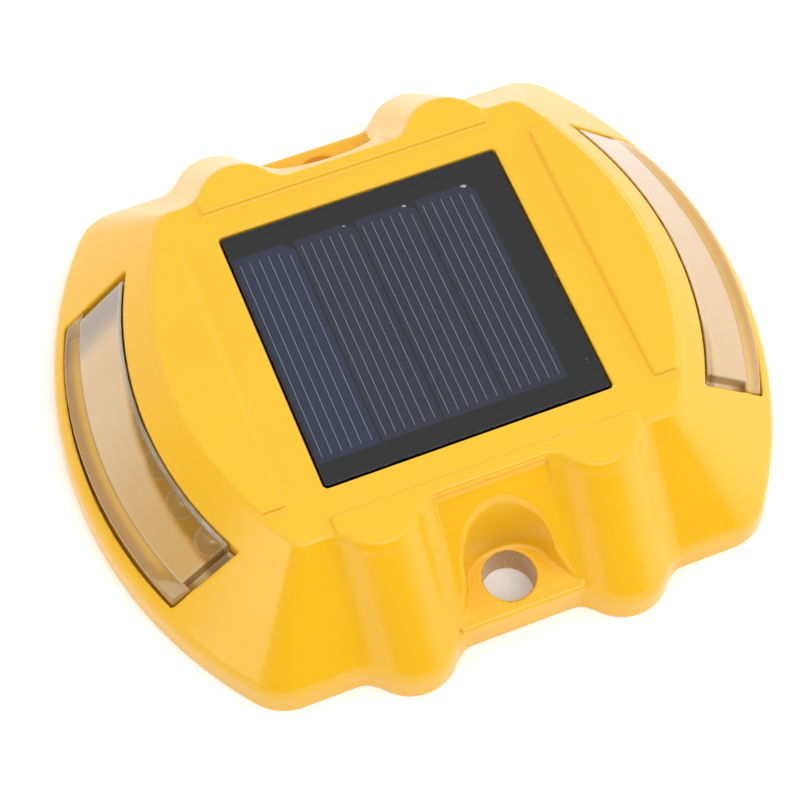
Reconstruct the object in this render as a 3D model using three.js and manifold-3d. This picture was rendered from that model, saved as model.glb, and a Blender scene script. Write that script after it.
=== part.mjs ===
// Solar raised pavement marker: a cast yellow housing with a solar panel in its top,
// a clear lens with six LEDs at each end, and the battery and controller inside.
//
// Millimetres, +Z up. The origin is the centre of the footprint on the road surface.
// +X runs along the long side, towards one lens. The bolt pads lie on -Y, the front, and +Y.

import * as THREE from "three";
import { mergeVertices } from "three/addons/utils/BufferGeometryUtils.js";
import Module from "manifold-3d";

const wasm = await Module();
wasm.setup();

// ---------------------------------------------------------------- driving dimensions

// Heights of the housing.
const RIM_Z = 5.5; // where the sloping sides would meet the upright rim
const PLATE_Z = 24.65; // flat top plate
const RAISED_Z = 25.45; // raised pads and crescents on the plate
const CEILING_Z = 19.25; // inside of the roof
const CAVITY_Z = 3; // above this the inner walls slope like the outer ones

// Horizontal sections. Each end is an arc of radius endR centred endOffset behind the
// origin, each long side is a flat at side, and their corners have radius cornerR. Two
// half-round lobes of radius lobeR centred at lobeY stand out of each long side, with
// hollow fillets of radius filletR.
const BASE = {
  endOffset: 14.5, endR: 76, cornerR: 9, side: 49.7, lobeY: 46.8, lobeR: 8.1, filletR: 3,
};
const RIM = {
  endOffset: 14.5, endR: 75.6, cornerR: 8.7, side: 49.35, lobeY: 46.5, lobeR: 8, filletR: 2.8,
};
const PLATE = {
  endOffset: 16, endR: 59, cornerR: 3, side: 33.3, lobeY: 31.43, lobeR: 7.23, filletR: 1.8,
};
const LOBE_X = 19;
const EDGE_EASE = 0.45; // soft top edge of the plate
const RIM_TOP_Z = 4.2; // where the upright rim starts to round into the slope
const SLOPE_LOW_Z = 6.6; // where that rounding ends
const WALL = 3; // casting thickness at the rim
const SKIN = 4; // level thickness of the sloping sides

// Raised pads and crescents.
const STEP_Y = 30.6; // inner edge of each raised pad
const PAD_SIDE = 33.1; // outer edge of a raised pad between its lobes
const PAD_LOBE_Y = 30.8;
const CRESCENT_X = 32.4; // straight edge of each crescent
const CRESCENT_Y = 26.1; // half its length
const CRESCENT_MARGIN = 0.8; // its distance from the plate's curved edge

// Bolt pads, their holes and the scoops above them. The back pad is the thinner one.
const BOLT_HOLE_R = 4.47;
const BOLT_PAD_X = 10.95;
const BOLT_PAD_INNER_Y = 36;
const FRONT_BOLT = {
  side: -1,
  y: 43.2,
  padZ: 7.4,
  padY: 49.7,
  scoopLow: { halfWidth: 7.3, reach: 5.3, mouth: 10.9 },
  scoopHigh: { halfWidth: 8.6, reach: 8.2, mouth: 11.6 },
};
const BACK_BOLT = {
  side: 1,
  y: 42.9,
  padZ: 5.2,
  padY: 49.4,
  scoopLow: { halfWidth: 8.5, reach: 4.8, mouth: 10.9 },
  scoopHigh: { halfWidth: 10, reach: 5.6, mouth: 11.6 },
};
const SCOOP_HIGH_Z = 24;
const POCKET_X = 10;
const POCKET_TOP = { y: 33.2, z: 23.4 };
const POCKET_FOOT = { y: 41, z: 15.6 };
const BOSS_X = 14.5; // solid metal round each bolt hole
const BOSS_Y = 32.3;

// Solar panel stack, from the recess floor up.
const RECESS_HALF = 25.3;
const RECESS_CORNER_R = 0.8;
const RECESS_FLOOR_Z = 20.9;
const STACK_GAP = 0.05;
const ADHESIVE_T = 0.5;
const BACKING_T = 1.4;
const CELL_T = 0.25;
const EPOXY_T = 1.2;
const PANEL_HALF = 24.95;
const PANEL_CORNER_R = 0.5;
const BACKING_HALF = 24.75;
const ADHESIVE_HALF = 22.95;
const CELL_COUNT = 4;
const CELL_GAP = 0.35;
const CELL_X = { low: -24.3, high: 19.5 };
const CELL_Y = { low: -20.2, high: 21.1 };
const CELL_CHAMFER = 1.6;
const WIRE_HOLE = { x: 0, y: -10, r: 3 };

// Lens windows, as shares of the way down the slope from plate to rim.
const WINDOW_TOP = 0.26;
const WINDOW_FOOT = 0.89;
const WINDOW_HALF_Y = 28.3;
const FIT = 0.3; // gap left round each lens and other fitted pieces
const LENS_FLOOR_Z = 3.4;
const LENS_BLOCK_RISE = 0.4; // how far the lens's thick block stands above the slope, straight up
const LENS_BLOCK_FOOT = 0.713; // where that block ends, down the slope
const LENS_BLOCK_HALF_Y = 26.5;
const LENS_BLOCK_LOW_Z = 8;
const LENS_LEDGE_SINK = 2.2; // how far the lens's two ends lie below the slope
// The band outside the block bulges: its top is a cone, flatter than the slope.
const LENS_BAND = { centreX: 15, innerR: 70.9, innerZ: 11.3, outerR: 73.8, outerZ: 9.9, halfY: 24 };
const CONE_SIDES = 240;
const LENS_INNER_R = 59.2; // curved back face, under the housing's lip
const LENS_SHOULDER_Z = 14.7;
const LENS_FLANGE = { outerR: 70.1, halfY: 30.5, top: 6.4 };

// LEDs: through-hole, 5 mm, along the arc behind each lens.
const LED_R = 2.5;
const LED_FLANGE_R = 2.9;
const LED_FLANGE_T = 1;
const LED_BODY_LENGTH = 6.2; // back to the centre of the dome
const LED_ARC_R = 62.9;
const LED_PITCH = 8.24;
const LEDS_PER_SIDE = 6;
const LED_Z = 10.3;
const LED_POCKET_R = LED_R + FIT;
const LED_LEAD = 0.5;
const LED_LEAD_PITCH = 2.54;
const LED_BOARD = { x: 36.2, thickness: 1.6, halfY: 24.5, low: 5.5, high: 15.5 };

// Base plate, its seal and its screws.
const PLATE_LOW_Z = 0.8;
const PLATE_HIGH_Z = 2.6;
const SCREW_SEAT_Z = 1.7;
const SEAL_INSET = WALL + FIT;
const PLATE_INSET = 4.6;
const SEAL_WIDTH = 1;
const POST = { x: 31, y: 37, r: 3.5, low: 2.9, high: 14, pilotR: 1.7, pilotTop: 11 };
const SCREW = { headR: 2.7, headT: 1.5, shankR: 1.35, length: 8.5 };

// Controller board and what is on it.
const BOARD = { x: 46, y: 26, centreY: -13, low: 12, thickness: 1.6 };
const BOARD_POST = { x: 19, r: 2.6, pilotR: 1.2, pilotTop: 18 };
const BOARD_SCREW = { headR: 2, headT: 1.2, shankR: 0.9, length: 4.5 };

// Rechargeable cell and its holder.
const BATTERY = { r: 7, length: 48, y: 19, z: 11.1 };
const HOLDER = { x: 54, y: 18, low: 3.2, high: 10.5, wall: 1.6 };
const CONTACT = { thickness: 0.4, width: 8, low: 5.6, high: 15 };

const WIRE_R = 0.6;
const WIRE_SIDES = 8;

const ARC_STEPS = 11; // per quarter of an end arc
const CORNER_STEPS = 4;
const LOBE_STEPS = 8;
const FILLET_STEPS = 3;
const SCOOP_STEPS = 12;
const ROUND_SIDES = 20;
const SMALL_SIDES = 12;

const BEYOND = 60; // past every outer face, for the ends of a cut
const OVERLAP = 1; // how far a joined or cut solid runs into its neighbour

// ---------------------------------------------------------------- materials

function material(color, roughness, metalness = 0) {
  return new THREE.MeshStandardMaterial({ color, roughness, metalness });
}

const materials = {
  yellowCoat: material(0xf9bd2a, 0.38),
  clearLens: material(0xe9d3b0, 0.12),
  ledClear: material(0xe6e2d8, 0.08),
  blackEpoxy: material(0x1d1d20, 0.08),
  siliconCell: material(0x2a3350, 0.25),
  blackBoard: material(0x18181b, 0.5),
  adhesive: material(0xd9d9d4, 0.7),
  greenBoard: material(0x1f6b3a, 0.45),
  blackPlastic: material(0x222224, 0.55),
  tinnedMetal: material(0xb9bcc0, 0.3, 1),
  zincSteel: material(0x9fa3a8, 0.35, 1),
  batteryWrap: material(0x2f7d4f, 0.4),
  darkRubber: material(0x2c2c2e, 0.85),
  redWire: material(0xb32020, 0.5),
  blackWire: material(0x1b1b1d, 0.5),
};

// ---------------------------------------------------------------- solids

function toSolid(geometry) {
  let bare = geometry.index ? geometry : geometry.clone();
  bare.deleteAttribute("normal");
  bare.deleteAttribute("uv");
  bare = mergeVertices(bare, 1e-5);
  return new wasm.Manifold(new wasm.Mesh({
    numProp: 3,
    vertProperties: Float32Array.from(bare.attributes.position.array),
    triVerts: Uint32Array.from(bare.index.array),
  }));
}

function toGeometry(solid) {
  const { vertProperties, triVerts } = solid.getMesh();
  const geometry = new THREE.BufferGeometry();
  geometry.setAttribute("position", new THREE.Float32BufferAttribute(vertProperties, 3));
  geometry.setIndex(Array.from(triVerts));
  geometry.computeVertexNormals();
  return geometry;
}

const union = (...solids) => solids.reduce((whole, solid) => whole.add(solid));
const cut = (whole, ...solids) => solids.reduce((rest, solid) => rest.subtract(solid), whole);

function box(x0, x1, y0, y1, z0, z1) {
  const geometry = new THREE.BoxGeometry(x1 - x0, y1 - y0, z1 - z0);
  return toSolid(geometry.translate((x0 + x1) / 2, (y0 + y1) / 2, (z0 + z1) / 2));
}

function post(x, y, radius, z0, z1, sides = ROUND_SIDES) {
  const geometry = new THREE.CylinderGeometry(radius, radius, z1 - z0, sides);
  return toSolid(geometry.rotateX(Math.PI / 2).translate(x, y, (z0 + z1) / 2));
}

function prism(points, z0, z1) {
  const shape = new THREE.Shape(points.map(([x, y]) => new THREE.Vector2(x, y)));
  const geometry = new THREE.ExtrudeGeometry(shape, { depth: z1 - z0, bevelEnabled: false });
  return toSolid(geometry.translate(0, 0, z0));
}

// A closed body through level rings of the same number of points, lowest first.
function loft(rings) {
  const count = rings[0].points.length;
  const positions = rings.flatMap(({ points, z }) => points.flatMap(([x, y]) => [x, y, z]));
  const index = [];
  for (let ring = 0; ring < rings.length - 1; ring += 1) {
    for (let i = 0; i < count; i += 1) {
      const a = ring * count + i;
      const b = ring * count + (i + 1) % count;
      index.push(a, b, b + count, a, b + count, a + count);
    }
  }
  const contour = (points) => points.map(([x, y]) => new THREE.Vector2(x, y));
  const lowCap = THREE.ShapeUtils.triangulateShape(contour(rings[0].points), []);
  const highCap = THREE.ShapeUtils.triangulateShape(contour(rings.at(-1).points), []);
  const top = (rings.length - 1) * count;
  lowCap.forEach(([a, b, c]) => index.push(a, c, b));
  highCap.forEach(([a, b, c]) => index.push(top + a, top + b, top + c));
  const geometry = new THREE.BufferGeometry();
  geometry.setAttribute("position", new THREE.Float32BufferAttribute(positions, 3));
  geometry.setIndex(index);
  return toSolid(geometry);
}

// A turned piece: profile points are [radius, distance along the axis].
function turned(profile, sides = SMALL_SIDES) {
  const points = profile.map(([radius, along]) => new THREE.Vector2(radius, along));
  return new THREE.LatheGeometry(points, sides);
}

function wire(points) {
  const section = new THREE.Shape();
  section.absarc(0, 0, WIRE_R, 0, 2 * Math.PI);
  const route = new THREE.CatmullRomCurve3(points.map((point) => new THREE.Vector3(...point)));
  const geometry = new THREE.ExtrudeGeometry(section, {
    extrudePath: route, steps: 10, curveSegments: WIRE_SIDES / 2,
  });
  return toSolid(geometry);
}

// ---------------------------------------------------------------- sections

function arc(centreX, centreY, radius, from, to, steps) {
  return Array.from({ length: steps + 1 }, (_, i) => {
    const angle = from + (to - from) * i / steps;
    return [centreX + radius * Math.cos(angle), centreY + radius * Math.sin(angle)];
  });
}

const mix = (a, b, share) => Object.fromEntries(
  Object.keys(a).map((key) => [key, a[key] + (b[key] - a[key]) * share]),
);
const slopeSection = (z) => mix(RIM, PLATE, (z - RIM_Z) / (PLATE_Z - RIM_Z));
const shrink = (section, by) => ({
  ...section,
  endR: section.endR - by,
  side: section.side - by,
  cornerR: Math.max(section.cornerR - by, 0.8),
});

// The quarter of a section from the end's tip round to the middle of the long side.
function quarter(section, withLobe) {
  const { endOffset, endR, cornerR, side, lobeY, lobeR, filletR } = section;
  const cornerY = side - cornerR;
  const cornerX = Math.sqrt((endR - cornerR) ** 2 - cornerY ** 2) - endOffset;
  const turn = Math.atan2(cornerY, cornerX + endOffset);
  const points = [
    ...arc(-endOffset, 0, endR, 0, turn, ARC_STEPS),
    ...arc(cornerX, cornerY, cornerR, turn, Math.PI / 2, CORNER_STEPS).slice(1),
  ];
  if (!withLobe) return points;
  const rise = side + filletR - lobeY;
  const run = Math.sqrt((lobeR + filletR) ** 2 - rise ** 2);
  const lean = Math.atan2(rise, run);
  const filletY = side + filletR;
  points.push(
    ...arc(LOBE_X + run, filletY, filletR, -Math.PI / 2, -Math.PI + lean, FILLET_STEPS),
    ...arc(LOBE_X, lobeY, lobeR, lean, Math.PI - lean, LOBE_STEPS).slice(1),
    ...arc(LOBE_X - run, filletY, filletR, -lean, -Math.PI / 2, FILLET_STEPS).slice(1),
  );
  return points;
}

function outline(section, withLobe) {
  const first = quarter(section, withLobe);
  const second = first.map(([x, y]) => [-x, y]).reverse();
  const third = first.slice(1).map(([x, y]) => [-x, -y]);
  const fourth = first.slice(1).map(([x, y]) => [x, -y]).reverse();
  return [...first, ...second, ...third, ...fourth];
}

const ring = (section, z, withLobe = true) => ({ points: outline(section, withLobe), z });

// Plan of a window, or of a piece in it: the area between two arcs at one end, out to
// halfY on each side. The arcs are centred at endOffset from the origin.
function crescentPlan(end, inner, outer, halfY, steps = ARC_STEPS) {
  const edge = ({ endOffset, endR }) => {
    const turn = Math.asin(halfY / endR);
    return arc(-endOffset, 0, endR, -turn, turn, steps);
  };
  const points = [...edge(outer), ...edge(inner).reverse()];
  return end > 0 ? points : points.map(([x, y]) => [-x, y]).reverse();
}

const ends = [["left", -1], ["right", 1]];
const slopeShare = (share) => mix(PLATE, RIM, share);
const INNER_ARC_OFFSET = slopeShare(WINDOW_TOP).endOffset;
const innerArc = (endR) => ({ endOffset: INNER_ARC_OFFSET, endR });

const postPlaces = [[-1, -1], [1, -1], [1, 1], [-1, 1]].map(([x, y]) => [x * POST.x, y * POST.y]);

// ---------------------------------------------------------------- housing

function outerBody() {
  const eased = shrink(slopeSection(PLATE_Z), EDGE_EASE);
  return loft([
    ring(BASE, 0),
    ring(mix(BASE, RIM, RIM_TOP_Z / RIM_Z), RIM_TOP_Z),
    ring(slopeSection(SLOPE_LOW_Z), SLOPE_LOW_Z),
    ring(slopeSection(PLATE_Z - EDGE_EASE), PLATE_Z - EDGE_EASE),
    ring(eased, PLATE_Z),
  ]);
}

function raisedPads() {
  const rootZ = PLATE_Z - OVERLAP;
  const root = { ...slopeSection(rootZ), side: PAD_SIDE };
  const crown = { ...PLATE, side: PAD_SIDE, lobeY: PAD_LOBE_Y };
  const slab = loft([ring(root, rootZ), ring(crown, RAISED_Z)]);
  const reach = LOBE_X + PLATE.lobeR - 0.1;
  return [[STEP_Y, BEYOND], [-BEYOND, -STEP_Y]].map(([low, high]) => (
    slab.intersect(box(-reach, reach, low, high, rootZ + 0.1, BEYOND))
  ));
}

function raisedCrescents() {
  const edge = { endOffset: PLATE.endOffset, endR: PLATE.endR - CRESCENT_MARGIN };
  const turn = Math.asin(CRESCENT_Y / edge.endR);
  const curve = arc(-edge.endOffset, 0, edge.endR, -turn, turn, ARC_STEPS);
  const plan = [...curve, [CRESCENT_X, CRESCENT_Y], [CRESCENT_X, -CRESCENT_Y]];
  return ends.map(([, end]) => {
    const points = end > 0 ? plan : plan.map(([x, y]) => [-x, y]).reverse();
    return prism(points, PLATE_Z - OVERLAP, RAISED_Z);
  });
}

function cavity() {
  const low = shrink(BASE, WALL);
  const high = shrink(slopeSection(CEILING_Z), SKIN);
  const hollow = loft([
    ring(low, -OVERLAP, false), ring(low, CAVITY_Z, false), ring(high, CEILING_Z, false),
  ]);
  return cut(hollow, ...boltBosses(0));
}

// The blocks round the bolt holes, grown by a gap for the pieces that fit round them.
function boltBosses(gap) {
  const x = BOSS_X + gap;
  const y = BOSS_Y - gap;
  return [box(-x, x, y, BEYOND, -BEYOND, BEYOND), box(-x, x, -BEYOND, -y, -BEYOND, BEYOND)];
}

// The scoop's level section above a front bolt: half an ellipse, open to the outside.
function scoopPlan({ halfWidth, reach, mouth }, boltY) {
  const wall = Array.from({ length: SCOOP_STEPS + 1 }, (_, i) => {
    const angle = Math.PI * i / SCOOP_STEPS;
    return [halfWidth * Math.cos(angle), -boltY + reach * Math.sin(angle)];
  });
  const flare = (mouth - halfWidth) / (BASE.side - boltY);
  const mouthX = halfWidth + flare * (BEYOND - boltY);
  return [...wall, [-mouthX, -BEYOND], [mouthX, -BEYOND]];
}

// What is cut away over one bolt pad, made at the front and turned to its side.
function boltCuts({ side, y, padZ, scoopLow, scoopHigh }) {
  const topShare = 1.4;
  const topZ = padZ + topShare * (SCOOP_HIGH_Z - padZ);
  const scoop = loft([
    { points: scoopPlan(scoopLow, y), z: padZ },
    { points: scoopPlan(mix(scoopLow, scoopHigh, topShare), y), z: topZ },
  ]);
  const profile = new THREE.Shape([
    [POCKET_TOP.y, POCKET_TOP.z], [POCKET_FOOT.y, POCKET_FOOT.z], [BEYOND, POCKET_FOOT.z],
    [BEYOND, BEYOND], [POCKET_TOP.y, BEYOND],
  ].map(([alongY, z]) => new THREE.Vector2(-alongY, z)));
  const slab = new THREE.ExtrudeGeometry(profile, { depth: 2 * POCKET_X, bevelEnabled: false });
  slab.rotateY(Math.PI / 2).rotateX(Math.PI / 2).translate(-POCKET_X, 0, 0);
  const hole = post(0, -y, BOLT_HOLE_R, -OVERLAP, padZ + OVERLAP);
  return union(scoop, toSolid(slab), hole).rotate([0, 0, side > 0 ? 180 : 0]);
}

function boltPad({ side, padZ, padY }) {
  const [low, high] = side > 0 ? [BOLT_PAD_INNER_Y, padY] : [-padY, -BOLT_PAD_INNER_Y];
  return box(-BOLT_PAD_X, BOLT_PAD_X, low, high, 0, padZ);
}

function roundedSquare(half, radius, z0, z1) {
  const centre = half - radius;
  const corners = [[1, 1, 0], [-1, 1, 1], [-1, -1, 2], [1, -1, 3]].flatMap(([x, y, turn]) => (
    arc(x * centre, y * centre, radius, turn * Math.PI / 2, (turn + 1) * Math.PI / 2, CORNER_STEPS)
  ));
  return prism(corners, z0, z1);
}

function housing() {
  const bolts = [FRONT_BOLT, BACK_BOLT];
  const posts = postPlaces.map(([x, y]) => post(x, y, POST.r, POST.low, POST.high));
  const pilots = postPlaces.map(([x, y]) => (
    post(x, y, POST.pilotR, 0, POST.pilotTop, SMALL_SIDES)
  ));
  const boardTop = BOARD.low + BOARD.thickness;
  const boardPosts = [-1, 1].map((x) => post(
    x * BOARD_POST.x, BOARD.centreY, BOARD_POST.r, boardTop + FIT, CEILING_Z + OVERLAP,
    SMALL_SIDES,
  ));
  const boardPilots = [-1, 1].map((x) => post(
    x * BOARD_POST.x, BOARD.centreY, BOARD_POST.pilotR, boardTop, BOARD_POST.pilotTop, SMALL_SIDES,
  ));
  const windows = ends.map(([, end]) => prism(
    crescentPlan(end, slopeShare(WINDOW_TOP), slopeShare(WINDOW_FOOT), WINDOW_HALF_Y),
    CAVITY_Z, BEYOND,
  ));
  const { x: wireX, y: wireY, r: wireHoleR } = WIRE_HOLE;
  const shell = cut(
    union(outerBody(), ...raisedPads(), ...raisedCrescents(), ...bolts.map(boltPad)),
    cavity(),
    ...bolts.map(boltCuts),
    ...windows,
    roundedSquare(RECESS_HALF, RECESS_CORNER_R, RECESS_FLOOR_Z, BEYOND),
    post(wireX, wireY, wireHoleR, CEILING_Z - OVERLAP, RECESS_FLOOR_Z + OVERLAP),
  );
  return cut(union(shell, ...posts, ...boardPosts), ...pilots, ...boardPilots);
}

// ---------------------------------------------------------------- solar panel

const adhesiveZ = RECESS_FLOOR_Z + STACK_GAP;
const backingZ = adhesiveZ + ADHESIVE_T + STACK_GAP;
const cellZ = backingZ + BACKING_T + STACK_GAP;
const epoxyZ = cellZ + CELL_T + STACK_GAP;

function panelAdhesive() {
  const sheet = roundedSquare(ADHESIVE_HALF, 1, adhesiveZ, adhesiveZ + ADHESIVE_T);
  const holeR = WIRE_HOLE.r + 0.5;
  return cut(sheet, post(WIRE_HOLE.x, WIRE_HOLE.y, holeR, adhesiveZ - OVERLAP, epoxyZ));
}

// One strip of silicon, with its far right-hand corner cut off.
function solarCell(number) {
  const width = (CELL_X.high - CELL_X.low - (CELL_COUNT - 1) * CELL_GAP) / CELL_COUNT;
  const x = CELL_X.low + number * (width + CELL_GAP);
  return prism([
    [x, CELL_Y.low], [x + width, CELL_Y.low], [x + width, CELL_Y.high - CELL_CHAMFER],
    [x + width - CELL_CHAMFER, CELL_Y.high], [x, CELL_Y.high],
  ], cellZ, cellZ + CELL_T);
}

// ---------------------------------------------------------------- lenses and LEDs

const ledYs = Array.from(
  { length: LEDS_PER_SIDE }, (_, i) => (i - (LEDS_PER_SIDE - 1) / 2) * LED_PITCH,
);
const ledDomeX = (y) => Math.sqrt(LED_ARC_R ** 2 - y ** 2) - INNER_ARC_OFFSET;

function ledPocket(end, y) {
  const reach = 16;
  const centreX = ledDomeX(y);
  const bore = new THREE.CylinderGeometry(LED_POCKET_R, LED_POCKET_R, reach, SMALL_SIDES);
  bore.rotateZ(Math.PI / 2).translate(end * (centreX - reach / 2), y, LED_Z);
  const dome = new THREE.SphereGeometry(LED_POCKET_R, SMALL_SIDES, 6);
  dome.rotateZ(Math.PI / 2).translate(end * centreX, y, LED_Z);
  return union(toSolid(bore), toSolid(dome));
}

function bandCap(end) {
  const { centreX, innerR, innerZ, outerR, outerZ } = LENS_BAND;
  const fall = (innerZ - outerZ) / (outerR - innerR);
  const cone = turned([
    [0, 0], [outerR + OVERLAP, 0], [outerR + OVERLAP, outerZ - fall * OVERLAP],
    [0, outerZ + fall * outerR],
  ], CONE_SIDES);
  return toSolid(cone.rotateX(Math.PI / 2).translate(-end * centreX, 0, 0));
}

function lens(end) {
  const inner = slopeShare(WINDOW_TOP);
  const outer = slopeShare(WINDOW_FOOT);
  const innerEdge = { ...inner, endR: inner.endR + FIT };
  const outerEdge = { ...outer, endR: outer.endR - FIT };
  const blockFoot = slopeShare(LENS_BLOCK_FOOT);
  const underBlock = { ...blockFoot, endR: blockFoot.endR - FIT };
  const raisedSlope = (rise) => outerBody().translate([0, 0, rise]);
  const halfY = WINDOW_HALF_Y - FIT;
  const ledge = prism(
    crescentPlan(end, innerEdge, outerEdge, halfY), LENS_FLOOR_Z, BEYOND,
  ).intersect(raisedSlope(-LENS_LEDGE_SINK));
  const block = prism(
    crescentPlan(end, innerEdge, blockFoot, LENS_BLOCK_HALF_Y), LENS_BLOCK_LOW_Z, BEYOND,
  ).intersect(raisedSlope(LENS_BLOCK_RISE));
  const band = prism(
    crescentPlan(end, underBlock, outerEdge, halfY), LENS_FLOOR_Z, BEYOND,
  ).intersect(outerBody());
  const bulge = prism(
    crescentPlan(end, underBlock, outerEdge, LENS_BAND.halfY), LENS_FLOOR_Z, BEYOND,
  ).intersect(bandCap(end));
  const back = prism(
    crescentPlan(end, innerArc(LENS_INNER_R), innerArc(inner.endR + OVERLAP), halfY),
    LENS_FLOOR_Z, LENS_SHOULDER_Z,
  );
  const flange = prism(
    crescentPlan(end, innerArc(LENS_INNER_R), innerArc(LENS_FLANGE.outerR), LENS_FLANGE.halfY),
    LENS_FLOOR_Z, LENS_FLANGE.top,
  );
  const whole = union(ledge, block, band, bulge, back, flange);
  return cut(whole, ...ledYs.map((y) => ledPocket(end, y)));
}

function led(end, y) {
  const domeSteps = 4;
  const dome = Array.from({ length: domeSteps + 1 }, (_, i) => {
    const angle = Math.PI / 2 * i / domeSteps;
    return [i === domeSteps ? 0 : LED_R * Math.cos(angle), LED_BODY_LENGTH + LED_R * Math.sin(angle)];
  });
  const body = turned([
    [0, 0], [LED_FLANGE_R, 0], [LED_FLANGE_R, LED_FLANGE_T], [LED_R, LED_FLANGE_T], ...dome,
  ]).rotateZ(-end * Math.PI / 2);
  const backX = ledDomeX(y) - LED_BODY_LENGTH;
  const whole = toSolid(body.translate(end * backX, y, LED_Z));
  const boardFace = LED_BOARD.x + LED_BOARD.thickness / 2 + 0.1;
  const leads = [-1, 1].map((side) => {
    const [x0, x1] = [end * boardFace, end * (backX + 0.5)].sort((a, b) => a - b);
    const leadY = y + side * LED_LEAD_PITCH / 2;
    const half = LED_LEAD / 2;
    return box(x0, x1, leadY - half, leadY + half, LED_Z - half, LED_Z + half);
  });
  return union(whole, ...leads);
}

function ledBoard(end) {
  const { x, thickness, halfY, low, high } = LED_BOARD;
  return box(end * x - thickness / 2, end * x + thickness / 2, -halfY, halfY, low, high);
}

// ---------------------------------------------------------------- base

function basePlan(inset, z0, z1) {
  const section = shrink(BASE, inset);
  const slab = loft([ring(section, z0, false), ring(section, z1, false)]);
  return cut(slab, ...boltBosses(inset - WALL));
}

function baseSeal() {
  const inner = basePlan(SEAL_INSET + SEAL_WIDTH, PLATE_LOW_Z - OVERLAP, PLATE_HIGH_Z + OVERLAP);
  return basePlan(SEAL_INSET, PLATE_LOW_Z, PLATE_HIGH_Z).subtract(inner);
}

function basePlate() {
  const seats = postPlaces.flatMap(([x, y]) => [
    post(x, y, SCREW.shankR + FIT, -OVERLAP, PLATE_HIGH_Z + OVERLAP, SMALL_SIDES),
    post(x, y, SCREW.headR + FIT, -OVERLAP, SCREW_SEAT_Z, SMALL_SIDES),
  ]);
  return cut(basePlan(PLATE_INSET, PLATE_LOW_Z, PLATE_HIGH_Z), ...seats);
}

// A cross-head screw driven upwards, with its head's face at the given height.
function screw({ headR, headT, shankR, length }, x, y, z) {
  const body = turned([
    [0, 0], [headR * 0.8, 0], [headR, headT * 0.35], [headR, headT], [shankR, headT],
    [shankR, length - 1], [0, length],
  ]).rotateX(Math.PI / 2);
  const slot = headR * 0.55;
  const blade = headR * 0.12;
  return cut(
    toSolid(body),
    box(-slot, slot, -blade, blade, -1, headT * 0.5),
    box(-blade, blade, -slot, slot, -1, headT * 0.5),
  ).translate([x, y, z]);
}

// ---------------------------------------------------------------- electronics

function controllerBoard() {
  const { x, y, centreY, low, thickness } = BOARD;
  const slab = box(-x / 2, x / 2, centreY - y / 2, centreY + y / 2, low, low + thickness);
  const holes = [-1, 1].map((side) => post(
    side * BOARD_POST.x, centreY, BOARD_SCREW.shankR + FIT, low - 1, low + 3, SMALL_SIDES,
  ));
  return cut(slab, ...holes);
}

// Parts on the board hang from its underside.
const HANG_Z = BOARD.low - 0.1;

function controllerChip() {
  const [x, y] = [-3, -13];
  const body = box(x - 2.5, x + 2.5, y - 2, y + 2, HANG_Z - 1.7, HANG_Z - 0.2);
  const legs = [-1.9, -0.65, 0.65, 1.9].flatMap((offset) => [-1, 1].map((side) => {
    const [y0, y1] = [y + side * 1.8, y + side * 3].sort((a, b) => a - b);
    return box(x + offset - 0.2, x + offset + 0.2, y0, y1, HANG_Z - 0.5, HANG_Z);
  }));
  return union(body, ...legs);
}

function hangingRound(profile, x, y) {
  return toSolid(turned(profile, ROUND_SIDES).rotateX(-Math.PI / 2).translate(x, y, HANG_Z));
}

const chokeCoil = () => hangingRound(
  [[0, 0], [4, 0], [4, 0.9], [3, 0.9], [3, 3.7], [4, 3.7], [4, 4.6], [0, 4.6]], 8, -8,
);
const capacitor = () => hangingRound(
  [[0, 0], [3.1, 0], [3.1, 0.8], [2.9, 1.2], [3.1, 1.6], [3.1, 6.8], [2.7, 7.2], [0, 7.2]],
  9, -19,
);

function socket(x, y) {
  const shell = box(x - 3, x + 3, y - 2.6, y + 2.6, HANG_Z - 5, HANG_Z);
  return shell.subtract(box(x - 2.2, x + 2.2, y - 1.8, y + 1.8, HANG_Z - 6, HANG_Z - 1.4));
}

function batteryCell() {
  const { r, length, y, z } = BATTERY;
  const half = length / 2;
  const body = turned([
    [0, 0], [r - 0.6, 0], [r, 0.6], [r, length - 2], [r - 0.8, length - 1.4],
    [2.6, length - 1.4], [2.6, length], [0, length],
  ], ROUND_SIDES);
  return toSolid(body.rotateZ(-Math.PI / 2).translate(-half, y, z));
}

function batteryHolder() {
  const { x, y, low, high, wall } = HOLDER;
  const block = box(-x / 2, x / 2, BATTERY.y - y / 2, BATTERY.y + y / 2, low, high);
  const room = BATTERY.length / 2 + 1.2;
  const half = y / 2 - wall;
  const trough = box(-room, room, BATTERY.y - half, BATTERY.y + half, low + 0.6, high + 1);
  const slots = [-1, 1].map((end) => {
    const [x0, x1] = [end * (x / 2 - wall), end * (x / 2 - wall - 1)].sort((a, b) => a - b);
    return box(x0, x1, BATTERY.y - 5, BATTERY.y + 5, low + 2, high + 1);
  });
  return cut(block, trough, ...slots);
}

function batteryContact(end) {
  const room = BATTERY.length / 2 + 0.35;
  const [x0, x1] = [end * room, end * (room + CONTACT.thickness)].sort((a, b) => a - b);
  const half = CONTACT.width / 2;
  return box(x0, x1, BATTERY.y - half, BATTERY.y + half, CONTACT.low, CONTACT.high);
}

// ---------------------------------------------------------------- assembly

const marker = new THREE.Group();

function addPiece(name, solid, finish) {
  const mesh = new THREE.Mesh(toGeometry(solid), finish);
  mesh.name = name;
  marker.add(mesh);
}

addPiece("housing", housing(), materials.yellowCoat);

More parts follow.
